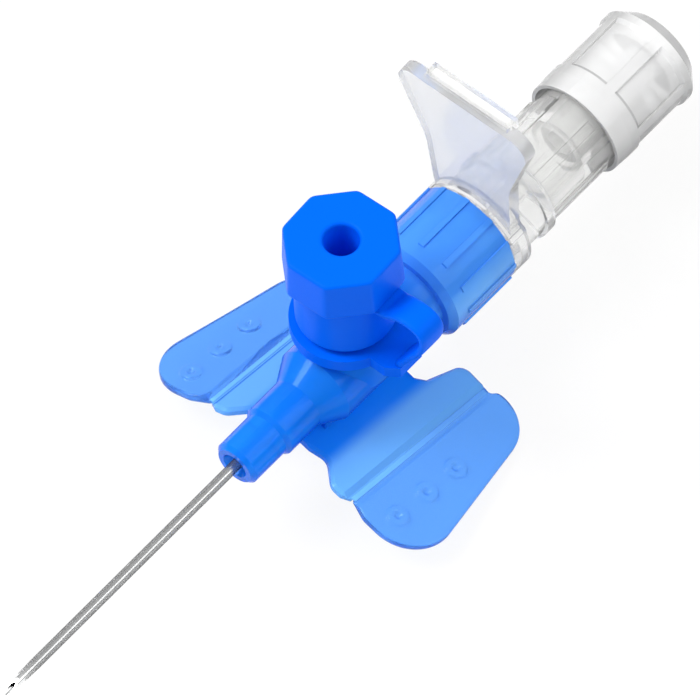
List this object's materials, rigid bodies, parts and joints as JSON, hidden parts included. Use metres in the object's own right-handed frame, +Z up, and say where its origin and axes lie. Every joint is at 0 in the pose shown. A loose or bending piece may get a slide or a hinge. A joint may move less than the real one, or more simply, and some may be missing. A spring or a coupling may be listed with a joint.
{
  "type": "iv cannula",
  "caption": "Winged intravenous cannula with needle, capped injection port, grip barrel, thumb plate and clear flashback chamber with a fluted plug.",
  "frame": {"origin": "on the needle's axis, at the centre of the hub nose's front face", "axes": "+X back along the needle towards the plug, +Z up through the injection port, +Y the user's left wing"},
  "size_m": [0.078, 0.028, 0.0261],
  "materials": {
    "catheter": "smooth, translucent",
    "steel": "finely drawn, bright",
    "blue_clear": "glossy, translucent blue",
    "cap_blue": "satin gloss, solid blue",
    "silicone": "satin, milky",
    "spring_steel": "bright rolled strip",
    "clear": "glossy, water clear",
    "milky_clear": "glossy, slightly milky",
    "filter": "matt, porous"
  },
  "bodies": {
    "hub": {"catheter_hub": "blue_clear", "catheter_tube": "catheter", "tube_bush": "steel", "port_valve": "silicone", "safety_clip": "spring_steel"},
    "left_wing": {"wing_left": "blue_clear"},
    "right_wing": {"wing_right": "blue_clear"},
    "collar": {"cap_collar": "cap_blue", "cap_strap": "cap_blue"},
    "cap": {"port_cap": "cap_blue"},
    "needle_assembly": {"needle": "steel", "needle_hub": "clear"},
    "plug_carrier": {"vent_filter": "filter"},
    "plug": {"flashback_plug": "milky_clear"}
  },
  "joints": [
    {"name": "wing_fold_left", "type": "hinge", "parent": "hub", "child": "left_wing", "pos_m": [0.01317, 0.00725, -0.00562], "axis": [0.9823, 0, -0.1874], "range_deg": [-15, 90]},
    {"name": "wing_fold_right", "type": "hinge", "parent": "hub", "child": "right_wing", "pos_m": [0.01317, -0.00725, -0.00562], "axis": [-0.9823, 0, 0.1874], "range_deg": [-15, 90]},
    {"name": "collar_turn", "type": "hinge", "parent": "hub", "child": "collar", "pos_m": [0.0136, 0, 0.0048], "axis": [0, 0, 1], "continuous": true},
    {"name": "cap_lift", "type": "slide", "parent": "collar", "child": "cap", "axis": [0, 0, 1], "range_m": [0, 0.0068], "deforming": ["cap_strap"]},
    {"name": "needle_withdraw", "type": "slide", "parent": "hub", "child": "needle_assembly", "axis": [1, 0, 0], "range_m": [0, 0.056]},
    {"name": "plug_travel", "type": "slide", "parent": "needle_assembly", "child": "plug_carrier", "axis": [1, 0, 0], "range_m": [0, 0.0025]},
    {"name": "plug_turn", "type": "hinge", "parent": "plug_carrier", "child": "plug", "pos_m": [0.045, 0, 0], "axis": [1, 0, 0], "range_deg": [0, 180]}
  ],
  "couplings": [
    {"joint": "plug_turn", "follows": "plug_travel", "rad_per_m": 1256.6}
  ]
}
